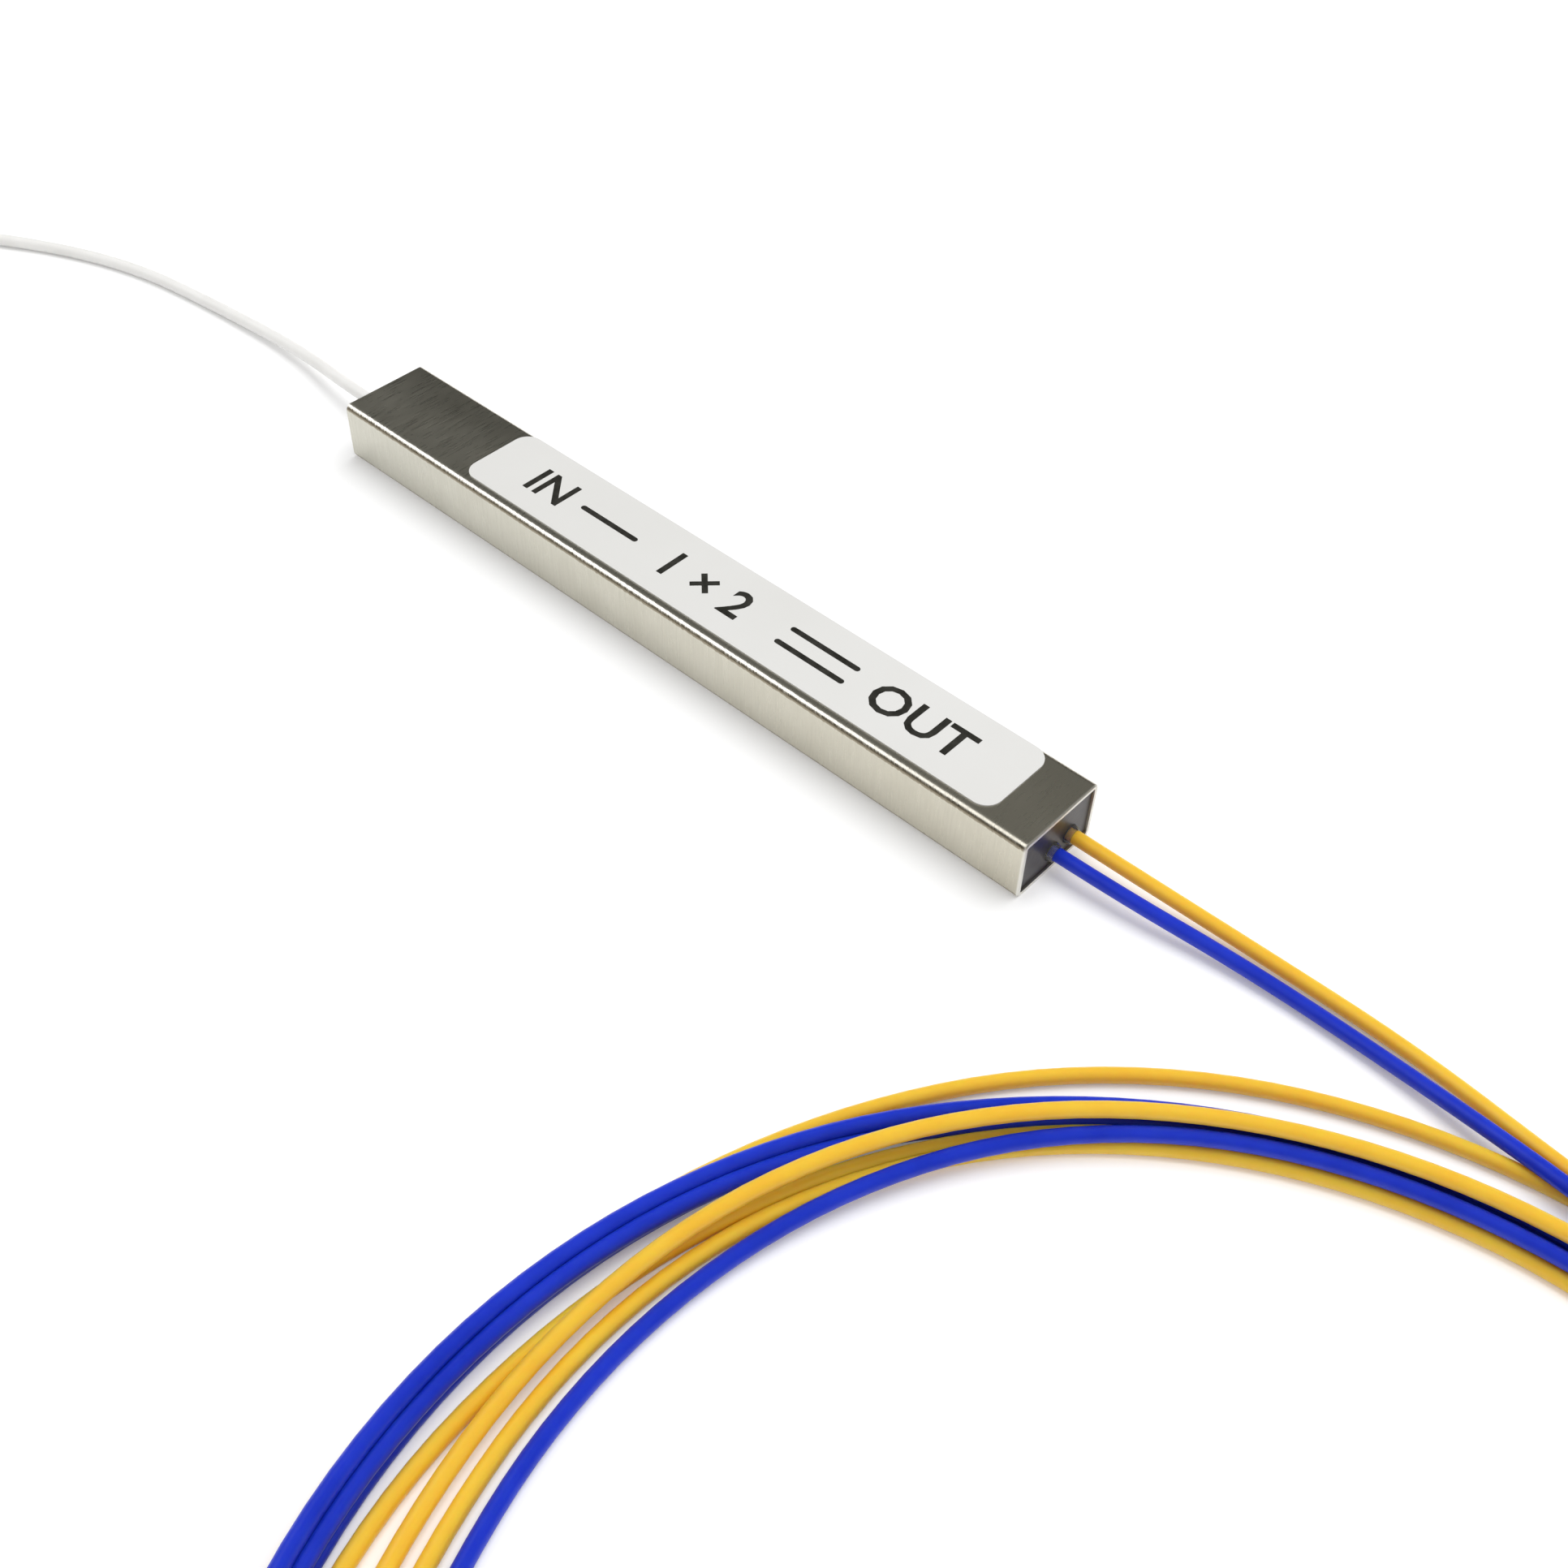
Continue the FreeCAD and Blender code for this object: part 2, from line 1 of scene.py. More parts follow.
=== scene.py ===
# %% [markdown]
# # A 1 × 2 fibre splitter with its three leads
#
# The part is a small stainless tube that hides a glass chip.
# One white lead goes in at one end and two coloured leads come out of the other.
# Its solids come ready made from CAD, in metres, and they stay where they are.
# What Blender adds is the finish of every surface and the leads as they really lie.

import math

import bpy
from mathutils import Matrix, Quaternion, Vector


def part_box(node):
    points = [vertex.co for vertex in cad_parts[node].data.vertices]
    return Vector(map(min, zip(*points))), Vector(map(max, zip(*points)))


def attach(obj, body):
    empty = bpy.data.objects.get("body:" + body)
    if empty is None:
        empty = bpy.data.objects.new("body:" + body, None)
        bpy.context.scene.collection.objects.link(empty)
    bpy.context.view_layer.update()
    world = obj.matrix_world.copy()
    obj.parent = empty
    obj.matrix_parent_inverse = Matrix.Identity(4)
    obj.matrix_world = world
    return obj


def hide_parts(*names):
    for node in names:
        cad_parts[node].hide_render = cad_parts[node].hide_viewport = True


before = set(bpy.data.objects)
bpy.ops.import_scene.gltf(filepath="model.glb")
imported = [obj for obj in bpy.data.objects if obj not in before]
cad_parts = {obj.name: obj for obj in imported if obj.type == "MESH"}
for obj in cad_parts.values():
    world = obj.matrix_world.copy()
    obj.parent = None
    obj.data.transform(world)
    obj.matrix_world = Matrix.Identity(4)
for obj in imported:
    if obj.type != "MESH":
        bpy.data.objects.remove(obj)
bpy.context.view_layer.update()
scene = bpy.context.scene
MM = 0.001

# %% [markdown]
# ## The camera
#
# A small part is looked at from close by, with a slightly long lens.
# The camera stands at the output side and looks down along the tube.
# A track quaternion aims it, and a small roll tips the horizon, as a hand-held camera would.

# %% Place the camera
camera_data = bpy.data.cameras.new("camera")
camera_data.lens = 41.902
camera_data.sensor_width = 36.0
camera_data.clip_start = 5 * MM
camera = bpy.data.objects.new("camera", camera_data)
scene.collection.objects.link(camera)
camera.location = (0.06402, -0.062979, 0.079932)
aim = Vector((0.014285, -0.00599, 0.0))
ROLL = math.radians(1.97)
tilt = Quaternion((0.0, 0.0, 1.0), ROLL)
camera.rotation_mode = "QUATERNION"
camera.rotation_quaternion = (aim - camera.location).to_track_quat("-Z", "Y") @ tilt
scene.camera = camera
print("camera at", tuple(camera.location), "looks at", tuple(aim))

# %% [markdown]
# ## The leads
#
# Each lead is a loose tube, 0.9 mm across, with a fibre inside it.
# A row of cylinders would show a kink at every joint, and a mesh tube is slow to correct.
# A NURBS curve with a round bevel bends as evenly as the real tube, from a few points,
# so each lead is one open spline whose points are its route from the gland outwards.
# The bevel's depth is multiplied by each point's radius, and a curve's bounding box grows by that radius,
# so the true radius goes on the points and the depth is 1.
# Routes are written in millimetres, as (x, y, height of the lead's middle).

# %% The shared size of the leads
LEAD_DIAMETER = 0.9  # mm

# %% A helper that lays a lead along its route
def lay_lead(name, route):
    curve = bpy.data.curves.new(name, "CURVE")
    curve.dimensions = "3D"
    spline = curve.splines.new("NURBS")
    spline.points.add(len(route) - 1)
    for point, (x, y, z) in zip(spline.points, route):
        point.co = (x * MM, y * MM, z * MM, 1.0)
        point.radius = LEAD_DIAMETER / 2 * MM
    spline.order_u = 3
    spline.use_endpoint_u = True
    spline.resolution_u = 6
    curve.bevel_depth = 1.0
    curve.bevel_resolution = 6
    curve.use_fill_caps = True
    lead = bpy.data.objects.new(name, curve)
    scene.collection.objects.link(lead)
    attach(lead, "root")
    print(name, "has", len(route), "points and is", round(spline.calc_length() / MM), "mm long")
    return lead

# %% [markdown]
# ## The loose coil of the output leads
#
# Both output leads go round the same coil, and nothing ties it.
# Its turns fan out at the left, pile up at the right, and climb over each other between.
# A helix would be too regular, and a physics rope would never stop at this pile.
# So each turn has a few stations of its own: an angle, a radius and a height.
# Points laid at even angles then follow the stations, and the spline smooths them.

# %% Where the loose coil lies
COIL_EYE = (67.5, -40.2)  # middle of the fanned turns
COIL_STORE = (68.7, -40.6)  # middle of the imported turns
STEP = 15.0  # degrees from one point to the next


def ease(value, start, end):
    """Goes smoothly from 0 at start to 1 at end."""
    share = min(1.0, max(0.0, (value - start) / (end - start)))
    return share * share * (3.0 - 2.0 * share)


def spline_reach(step):
    """How far outside its own turn a point of a quadratic spline has to lie."""
    return 1.0 / (0.75 + 0.25 * math.cos(math.radians(step)))


print("a spline point lies", round(spline_reach(STEP), 4), "times as far out as the turn it makes")

# %% [markdown]
# Angles run clockwise from the top of the coil as it is seen from above.
# A strand that climbs over its neighbours is up before it crosses them,
# and one that sinks stays up until it has crossed.
# On the far side of the coil the turns leave their stations and lie packed in neat layers.

# %% Where a turn is at one angle
def along_turn(stations, angle):
    if angle <= stations[0][0]:
        return stations[0][1:]
    for (start, near_radius, low), (end, far_radius, high) in zip(stations, stations[1:]):
        if angle <= end:
            share = (angle - start) / (end - start)
            return near_radius + (far_radius - near_radius) * share, low + (high - low) * share
    return stations[-1][1:]


# %% One turn after another
PACKING = (0, 80)  # the angles between which the turns draw together
UNPACKING = (165, 245)  # and those between which they fan out again
FAR_SIDE = 120  # where one turn's last station gives way to the next turn's first


def coil_route(turns, stored, start, end):
    """Points of a coil that runs clockwise, made of turns that each have stations.

    stored holds the (radius, height) of each turn in the part of the ring where they are packed."""
    route = []
    reach = spline_reach(STEP)
    for index in range(int(round((end - start) / STEP)) + 1):
        angle = start + index * STEP
        turn, place = int(angle // 360), angle % 360
        pack_radius, pack_height = stored[min(turn, len(stored) - 1)]
        if place < FAR_SIDE:
            radius, height = turns[min(turn, len(turns) - 1)][-1][1:]
            packed = ease(place, *PACKING)
        else:
            radius, height = along_turn(turns[min(turn + 1, len(turns) - 1)], place)
            packed = 1.0 - ease(place, *UNPACKING)
        lift = height + (pack_height - height) * packed
        across, up = math.sin(math.radians(place)), math.cos(math.radians(place))
        fanned = (COIL_EYE[0] + radius * reach * across, COIL_EYE[1] + radius * reach * up)
        neat = (COIL_STORE[0] + pack_radius * reach * across, COIL_STORE[1] + pack_radius * reach * up)
        x, y = (loose * (1 - packed) + tight * packed for loose, tight in zip(fanned, neat))
        route.append((x, y, lift))
    return route


# %% The blue lead
BLUE_TURNS = [
    [(328, 39.4, 1.35)],
    [
        (250, 39.15, 1.25),
        (262, 38.85, 1.25),
        (274, 38.4, 1.3),
        (286, 38.05, 1.3),
        (298, 37.65, 1.0),
        (310, 37.3, 0.45),
    ],
    [
        (200, 33.0, 2.4),
        (235, 33.0, 0.45),
        (250, 33.0, 0.45),
        (256, 33.2, 0.45),
        (262, 33.45, 0.45),
        (268, 33.85, 0.45),
        (274, 34.1, 0.45),
        (286, 34.7, 0.6),
        (298, 35.2, 1.1),
        (316, 36.1, 1.35),
        (328, 36.25, 1.35),
    ],
    [(250, 39.05, 0.45), (262, 38.95, 0.45), (274, 38.7, 0.45), (286, 38.45, 0.45), (300, 38.03, 0.45)],
    [
        (250, 39.75, 1.9),
        (262, 39.6, 1.7),
        (274, 39.27, 1.4),
        (286, 38.9, 1.3),
        (298, 38.4, 1.3),
        (310, 37.85, 1.3),
        (322, 37.6, 1.25),
    ],
]
BLUE_STORED = [(38.0, 2.25), (38.0, 0.45), (38.0, 1.35), (39.0, 1.35), (40.0, 1.35)]
BLUE_START = [
    (26.2, -0.25, 1.4),
    (33.6, -0.25, 1.4),
    (42.6, 0.95, 0.62),
    (51.6, 0.85, 0.6),
    (60.2, -0.05, 1.3),
]
blue_lead = lay_lead("blue_output_lead", BLUE_START + coil_route(BLUE_TURNS, BLUE_STORED, -4, 1451))

# %% The orange lead
ORANGE_TURNS = [
    [(325, 40.35, 1.3)],
    [
        (250, 39.85, 0.45),
        (262, 39.8, 0.45),
        (274, 39.6, 0.45),
        (286, 39.3, 0.45),
        (298, 39.5, 0.45),
        (316, 40.15, 0.45),
        (334, 40.5, 0.45),
    ],
    [
        (250, 35.9, 0.45),
        (264, 36.2, 0.7),
        (272, 36.4, 1.3),
        (282, 36.5, 1.95),
        (292, 36.7, 2.15),
        (304, 36.9, 2.15),
        (334, 36.95, 2.15),
        (354, 37.2, 2.15),
    ],
    [(250, 38.0, 0.45), (256, 37.45, 0.45), (262, 37.25, 0.45), (276, 36.75, 0.45), (300, 36.6, 0.45)],
    [(250, 34.4, 0.45), (264, 34.94, 0.45), (272, 35.37, 0.45), (282, 35.75, 0.45), (300, 35.9, 0.45)],
]
ORANGE_STORED = [(40.4, 0.6), (39.3, 0.45), (37.0, 2.25), (37.0, 0.45), (36.0, 0.45)]
ORANGE_START = [
    (26.2, 1.45, 1.55),
    (33.6, 1.45, 1.55),
    (42.5, 2.3, 0.6),
    (52.0, 2.4, 0.45),
    (61.4, 0.9, 0.95),
    (70.4, -0.3, 1.4),
]
orange_lead = lay_lead("orange_output_lead", ORANGE_START + coil_route(ORANGE_TURNS, ORANGE_STORED, 14, 1454))

# %% [markdown]
# ## The white lead
#
# The white lead's spare length is put away in a small tied coil.
# A fibre breaks when it is bent much tighter than about 10 mm, so this coil is wide for so thin a lead.
# It is wound in layers: in towards the middle, out again on top, and in once more.

# %% The tied coil of the white lead
WHITE_COIL_MIDDLE = (-72.4, -26.0)
WHITE_START = [
    (-26.2, 0.0, 2.0),
    (-33.6, 0.0, 2.0),
    (-42.6, 1.4, 0.8),
    (-52.4, 0.9, 0.45),
    (-62.2, -0.3, 0.45),
    (-71.4, -4.2, 0.45),
    (-79.0, -10.0, 0.8),
    (-84.6, -19.4, 1.1),
]


def wound_route(first_angle, turns, outer=13.9, inner=11.05, floor=0.65, pitch=0.95, per_layer=4, step=24.0):
    """Points of a neat coil: radii between outer and inner, with layers a pitch apart."""
    route = []
    for index in range(int(turns * 360 / step) + 1):
        wound = index * step / 360
        layer, share = int(wound // per_layer), (wound % per_layer) / per_layer
        share = share if layer % 2 == 0 else 1 - share
        radius = (outer + (inner - outer) * share) * spline_reach(step)
        angle = math.radians(first_angle + index * step)
        route.append(
            (
                WHITE_COIL_MIDDLE[0] + radius * math.cos(angle),
                WHITE_COIL_MIDDLE[1] + radius * math.sin(angle),
                floor + pitch * layer,
            )
        )
    return route


white_lead = lay_lead("white_input_lead", WHITE_START + wound_route(180, 11.7))

# %% [markdown]
# ## What each lead stands for
#
# Each lead stands for its own CAD solid and for the ring its coil has in CAD, and those are hidden.

# %% Hide the CAD solids that the leads stand for
LEADS = [
    (white_lead, "white", -1, 0.0, 2.0),
    (blue_lead, "blue", 1, -0.25, 1.4),
    (orange_lead, "orange", 1, 1.45, 1.55),
]
for lead, colour, side, y, z in LEADS:
    coil = "white_lead_coil" if colour == "white" else "output_lead_coil"
    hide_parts(colour + "_lead", coil)

# %% [markdown]
# ## Tools for the finishes
#
# A finish is a small node tree, and most of them are the same few moves.
# One helper adds a node and fills its sockets, another does the sums,
# and a third starts a material with its plain values set on the shader itself.

# %% Helpers for node trees
def add_node(tree, kind, values=None, **settings):
    made = tree.nodes.new(kind)
    for key, value in settings.items():
        setattr(made, key, value)
    for key, value in (values or {}).items():
        if isinstance(value, bpy.types.NodeSocket):
            tree.links.new(value, made.inputs[key])
        else:
            made.inputs[key].default_value = value
    return made


def sum_up(tree, operation, first, second=0.0):
    return add_node(tree, "ShaderNodeMath", {0: first, 1: second}, operation=operation).outputs[0]


# The Mix node has sockets for numbers, vectors and colours under the same names, so colours go in by index.
def blend_colours(tree, share, first, second):
    return add_node(tree, "ShaderNodeMix", {0: share, 6: first, 7: second}, data_type="RGBA").outputs[2]


def paint(tree, shader, share, first, second):
    """Colours a finish with two colours that a mask mixes."""
    tree.links.new(blend_colours(tree, share, first, second), shader.inputs["Base Color"])


def new_finish(name, plain_values):
    material = bpy.data.materials.new(name)
    material.use_nodes = True
    shader = material.node_tree.nodes["Principled BSDF"]
    for key, value in plain_values.items():
        shader.inputs[key].default_value = value
    print("finish:", name)
    return material, material.node_tree, shader


def place_of(tree):
    return add_node(tree, "ShaderNodeTexCoord").outputs["Object"]


def relief(tree, shader, height, depth):
    """Raises a surface by up to depth, in millimetres, where height is 1."""
    bump = add_node(tree, "ShaderNodeBump", {"Strength": 1.0, "Distance": depth * MM, "Height": height})
    tree.links.new(bump.outputs["Normal"], shader.inputs["Normal"])


# %% A helper that starts a node group
def new_group(name, inputs, outputs):
    group = bpy.data.node_groups.new(name, "ShaderNodeTree")
    for socket, kind, value in inputs:
        made = group.interface.new_socket(socket, in_out="INPUT", socket_type=kind)
        made.default_value = value
    for socket in outputs:
        group.interface.new_socket(socket, in_out="OUTPUT", socket_type="NodeSocketFloat")
    into, out = group.nodes.new("NodeGroupInput"), group.nodes.new("NodeGroupOutput")
    print("group:", name, "puts out", outputs)
    return group, into, out


def use_group(tree, group, **values):
    made = add_node(tree, "ShaderNodeGroup", node_tree=group)
    for key, value in values.items():
        socket = made.inputs[key.replace("_", " ").capitalize()]
        if isinstance(value, bpy.types.NodeSocket):
            tree.links.new(value, socket)
        else:
            socket.default_value = value
    return made


# %% [markdown]
# ## Grain
#
# Rolling and brushing leave fine lines in metal, and an extruder leaves them along plastic.
# Both are noise that is stretched one way, so one group makes them all.
# Its Stretch says how many lines there are to a metre along each axis, and its Slant leans them over.

# %% The grain group
grain, into, out = new_group(
    "grain",
    [
        ("Stretch", "NodeSocketVector", (9000.0, 500.0, 500.0)),
        ("Softness", "NodeSocketFloat", 0.5),
        ("Slant", "NodeSocketFloat", 0.0),
    ],
    ["Grain"],
)
split = add_node(grain, "ShaderNodeSeparateXYZ", {"Vector": place_of(grain)})
rise = sum_up(grain, "SUBTRACT", split.outputs["Z"], sum_up(grain, "ABSOLUTE", split.outputs["Y"]))
lean = sum_up(grain, "MULTIPLY", rise, into.outputs["Slant"])
along = sum_up(grain, "ADD", split.outputs["X"], lean)
leant = add_node(grain, "ShaderNodeCombineXYZ", {"X": along, "Y": split.outputs["Y"], "Z": split.outputs["Z"]})
stretched = add_node(
    grain,
    "ShaderNodeVectorMath",
    {0: leant.outputs["Vector"], 1: into.outputs["Stretch"]},
    operation="MULTIPLY",
)
lines = add_node(
    grain,
    "ShaderNodeTexNoise",
    {"Vector": stretched.outputs[0], "Scale": 1.0, "Detail": 3.0, "Roughness": into.outputs["Softness"]},
)
grain.links.new(lines.outputs["Fac"], out.inputs["Grain"])

# %% [markdown]
# ## Mottle and specks
#
# No handled surface is even. Slow cloudy changes come from large noise,
# and dust and pinholes come from a Voronoi texture cut off near its cell centres.

# %% The mottle group
mottle, into, out = new_group("mottle", [("Patches per metre", "NodeSocketFloat", 400.0)], ["Mottle"])
cloud = add_node(
    mottle,
    "ShaderNodeTexNoise",
    {"Vector": place_of(mottle), "Scale": into.outputs[0], "Detail": 4.0, "Roughness": 0.55},
)
limits = {"Value": cloud.outputs["Fac"], "From Min": 0.3, "From Max": 0.7}
spread = add_node(mottle, "ShaderNodeMapRange", limits)
mottle.links.new(spread.outputs["Result"], out.inputs["Mottle"])

# %% The specks group
specks, into, out = new_group(
    "specks",
    [
        ("Cells per metre", "NodeSocketFloat", 700.0),
        ("Size", "NodeSocketFloat", 0.08),
        ("Share", "NodeSocketFloat", 0.3),
    ],
    ["Specks"],
)
cells = add_node(
    specks, "ShaderNodeTexVoronoi", {"Vector": place_of(specks), "Scale": into.outputs["Cells per metre"]}
)
near = sum_up(specks, "LESS_THAN", cells.outputs["Distance"], into.outputs["Size"])
pick = add_node(specks, "ShaderNodeSeparateColor", {"Color": cells.outputs["Color"]})
chosen = sum_up(specks, "LESS_THAN", pick.outputs["Red"], into.outputs["Share"])
specks.links.new(sum_up(specks, "MULTIPLY", near, chosen), out.inputs["Specks"])

# %% [markdown]
# ## The stainless tube
#
# The tube is cut from drawn strip, so its grain runs across it.
# Handling has polished its long corners a little and left fine nicks across them.
# On each corner a bright band is painted, partly that polish and partly a painted highlight,
# with a painted dark reflection, a thin brown line, between it and the side wall. The painted band fades
# towards the output end, and the saw has left a pale burr round both cut ends.
# An edge detector would find the cut ends too,
# so the corners are found by measuring from the middle of the tube.

# %% Find the long corners of the tube
TUBE = {"length": 60.0, "width": 7.0, "height": 4.4, "corner": 0.45}  # mm


def corner_angle(tree):
    """The angle round a long corner in quarter turns, 0 at the side wall and 1 at the top wall."""
    split = add_node(tree, "ShaderNodeSeparateXYZ", {"Vector": place_of(tree)})
    across = sum_up(tree, "ABSOLUTE", split.outputs["Y"])
    upward = sum_up(tree, "ABSOLUTE", sum_up(tree, "SUBTRACT", split.outputs["Z"], TUBE["height"] / 2 * MM))
    out_y = sum_up(tree, "SUBTRACT", across, (TUBE["width"] / 2 - TUBE["corner"]) * MM)
    out_z = sum_up(tree, "SUBTRACT", upward, (TUBE["height"] / 2 - TUBE["corner"]) * MM)
    angle = sum_up(tree, "ARCTAN2", out_z, out_y)
    return sum_up(tree, "DIVIDE", angle, math.pi / 2), split.outputs["X"]


# %% Helpers for bands and ranges
def band(tree, value, steps):
    """A mask that follows (value, level) steps."""
    made = add_node(tree, "ShaderNodeValToRGB", {"Fac": value})
    elements = made.color_ramp.elements
    elements[0].position, elements[1].position = steps[0][0], steps[-1][0]
    for position, _ in steps[1:-1]:
        elements.new(position)
    for element, (_, level) in zip(elements, steps):
        element.color = (level, level, level, 1.0)
    return made.outputs["Color"]


def fade(tree, value, start, end, first=0.0, last=1.0):
    """A mask that goes from first to last while value goes from start to end."""
    limits = {"Value": value, "From Min": start, "From Max": end, "To Min": first, "To Max": last}
    return add_node(tree, "ShaderNodeMapRange", limits).outputs["Result"]


# %% Where the steel is worn, and where its corner highlight and dark reflection are painted
stainless, tree, shader = new_finish("stainless", {"Metallic": 1.0, "Anisotropic": 0.3})
across_grain = use_group(tree, grain, Stretch=(9000.0, 420.0, 420.0), Softness=0.65).outputs["Grain"]
striations = use_group(tree, grain, Stretch=(5200.0, 500.0, 500.0), Softness=0.75, Slant=0.9).outputs["Grain"]
blotches = use_group(tree, mottle, Patches_per_metre=260.0).outputs["Mottle"]
angle, along = corner_angle(tree)
unsteady = sum_up(tree, "MULTIPLY", sum_up(tree, "SUBTRACT", striations, 0.5), 0.35)
around = sum_up(tree, "ADD", angle, unsteady)
kept = fade(tree, along, 8 * MM, 27 * MM, 1.0, 0.35)
# A band round each corner, painted bright: partly real polish, partly a painted highlight.
burnish_and_highlight_band = band(tree, around, ((0.40, 0.0), (0.52, 1.0), (0.80, 1.0), (0.95, 0.0)))
burnish_and_highlight = sum_up(tree, "MULTIPLY", burnish_and_highlight_band, kept)
# A thin band between the bright band and the side wall, painted brown: a painted reflection of the dark
# horizon.
painted_dark_reflection = band(tree, around, ((0.08, 0.0), (0.16, 1.0), (0.40, 1.0), (0.50, 0.0)))
from_middle = sum_up(tree, "ABSOLUTE", along)
burr = fade(tree, from_middle, (TUBE["length"] / 2 - 0.15) * MM, (TUBE["length"] / 2 - 0.05) * MM)
print("masks of the steel: grain, striations, blotches, rubbing, tarnish and burr")

# %% Stainless steel
warm = fade(tree, along, -30 * MM, 30 * MM)
cool_steel = blend_colours(tree, blotches, (0.61, 0.595, 0.515, 1.0), (0.665, 0.65, 0.57, 1.0))
warm_steel = blend_colours(tree, blotches, (0.64, 0.605, 0.50, 1.0), (0.685, 0.65, 0.545, 1.0))
plain = blend_colours(tree, warm, cool_steel, warm_steel)
grained = blend_colours(tree, sum_up(tree, "MULTIPLY", across_grain, 0.25), plain, (0.36, 0.35, 0.31, 1.0))
# The corners get a painted highlight over their polish, then the painted brown reflection beside it.
bright = blend_colours(tree, burnish_and_highlight, grained, (0.86, 0.84, 0.79, 1.0))
coloured = blend_colours(tree, sum_up(tree, "MULTIPLY", painted_dark_reflection, 0.85), bright, (0.27, 0.23, 0.165, 1.0))
paint(tree, shader, burr, coloured, (0.80, 0.79, 0.74, 1.0))
dull = fade(tree, across_grain, 0.3, 0.7, 0.24, 0.40)
polished = sum_up(tree, "SUBTRACT", dull, sum_up(tree, "MULTIPLY", burnish_and_highlight, 0.08))
roughness = sum_up(tree, "ADD", polished, sum_up(tree, "MULTIPLY", burr, 0.25))
tree.links.new(roughness, shader.inputs["Roughness"])
nicks = sum_up(tree, "MULTIPLY", striations, burnish_and_highlight)
relief(tree, shader, sum_up(tree, "ADD", sum_up(tree, "MULTIPLY", across_grain, 0.2), nicks), 0.018)

# %% [markdown]
# ## The label
#
# The label is a strip of white film, printed with a dark ink.
# Its print is generic: which end goes in, how the light is shared, and which end comes out.

# %% Label film and ink
label_film, tree, shader = new_finish("label_film", {"Roughness": 0.42})
clouds = use_group(tree, mottle, Patches_per_metre=90.0).outputs["Mottle"]
pinholes = use_group(tree, specks, Cells_per_metre=420.0, Size=0.06, Share=0.18).outputs["Specks"]
film = blend_colours(tree, clouds, (0.745, 0.74, 0.715, 1.0), (0.775, 0.77, 0.75, 1.0))
paint(tree, shader, sum_up(tree, "MULTIPLY", pinholes, 0.35), film, (0.45, 0.43, 0.40, 1.0))
paper = use_group(tree, grain, Stretch=(5200.0, 5200.0, 5200.0), Softness=0.6).outputs["Grain"]
relief(tree, shader, paper, 0.004)

label_ink, tree, shader = new_finish("label_ink", {"Roughness": 0.5})
worn = use_group(tree, mottle, Patches_per_metre=1500.0).outputs["Mottle"]
paint(tree, shader, worn, (0.009, 0.009, 0.006, 1.0), (0.035, 0.034, 0.028, 1.0))
relief(tree, shader, worn, 0.003)

# %% [markdown]
# ## Resin and clear adhesive
#
# Dark resin is poured into each end of the tube and sets a little below the rim, with some dust on it.
# A bead of clear adhesive seals each lead where it comes out, and hardly shows.

# %% Resin and clear adhesive
dark_resin, tree, shader = new_finish("dark_resin", {"Roughness": 0.34, "Specular IOR Level": 0.35})
flow = use_group(tree, mottle, Patches_per_metre=900.0).outputs["Mottle"]
dust = use_group(tree, specks, Cells_per_metre=2200.0, Size=0.10, Share=0.10).outputs["Specks"]
resin = blend_colours(tree, flow, (0.036, 0.033, 0.033, 1.0), (0.056, 0.052, 0.051, 1.0))
paint(tree, shader, sum_up(tree, "MULTIPLY", dust, 0.5), resin, (0.35, 0.34, 0.32, 1.0))
relief(tree, shader, flow, 0.006)

clear_adhesive, tree, shader = new_finish(
    "clear_adhesive", {"Roughness": 0.04, "Transmission Weight": 0.95, "IOR": 1.5}
)
haze = use_group(tree, mottle, Patches_per_metre=2600.0).outputs["Mottle"]
paint(tree, shader, haze, (0.96, 0.95, 0.92, 1.0), (1.0, 0.995, 0.98, 1.0))
relief(tree, shader, haze, 0.004)

# %% [markdown]
# ## The tubes of the leads
#
# Loose tube is soft, slightly clear plastic: light that goes in at the top comes out below.
# Subsurface scattering does that, and its radius says which colours travel furthest.

# %% The tubes of the leads
def lead_finish(name, deep, pale, glow_through, gloss):
    material, tree, shader = new_finish(
        name,
        {
            "Roughness": 0.38,
            "Specular IOR Level": gloss,
            "Subsurface Weight": 0.9,
            "Subsurface Radius": glow_through,
            "Subsurface Scale": LEAD_DIAMETER * MM,
        },
    )
    streaks = use_group(tree, mottle, Patches_per_metre=320.0).outputs["Mottle"]
    paint(tree, shader, streaks, deep, pale)
    drawn = use_group(tree, grain, Stretch=(2600.0, 2600.0, 2600.0), Softness=0.5).outputs["Grain"]
    relief(tree, shader, drawn, 0.006)
    return material


white_tube = lead_finish(
    "white_tube", (0.80, 0.79, 0.765, 1.0), (0.86, 0.85, 0.825, 1.0), glow_through=(1.0, 1.0, 1.0), gloss=0.5
)
blue_tube = lead_finish(
    "blue_tube", (0.006, 0.030, 0.49, 1.0), (0.012, 0.044, 0.58, 1.0), glow_through=(0.2, 0.3, 1.0), gloss=0.35
)
orange_tube = lead_finish(
    "orange_tube", (0.95, 0.52, 0.034, 1.0), (0.98, 0.58, 0.046, 1.0), glow_through=(1.0, 0.6, 0.2), gloss=0.6
)
LEAD_TUBES = (
    (white_lead, white_tube, "white_tube"),
    (blue_lead, blue_tube, "blue_tube"),
    (orange_lead, orange_tube, "orange_tube"),
)
for lead, tube, slot_name in LEAD_TUBES:
    lead.data.materials.append(tube)

# %% [markdown]
# ## What the tube hides
#
# Blocks of polished glass hold the fibres against a silicon chip, all on a bed of soft silicone.
# None of it shows, so these finishes are short, but each has its own cloudiness.

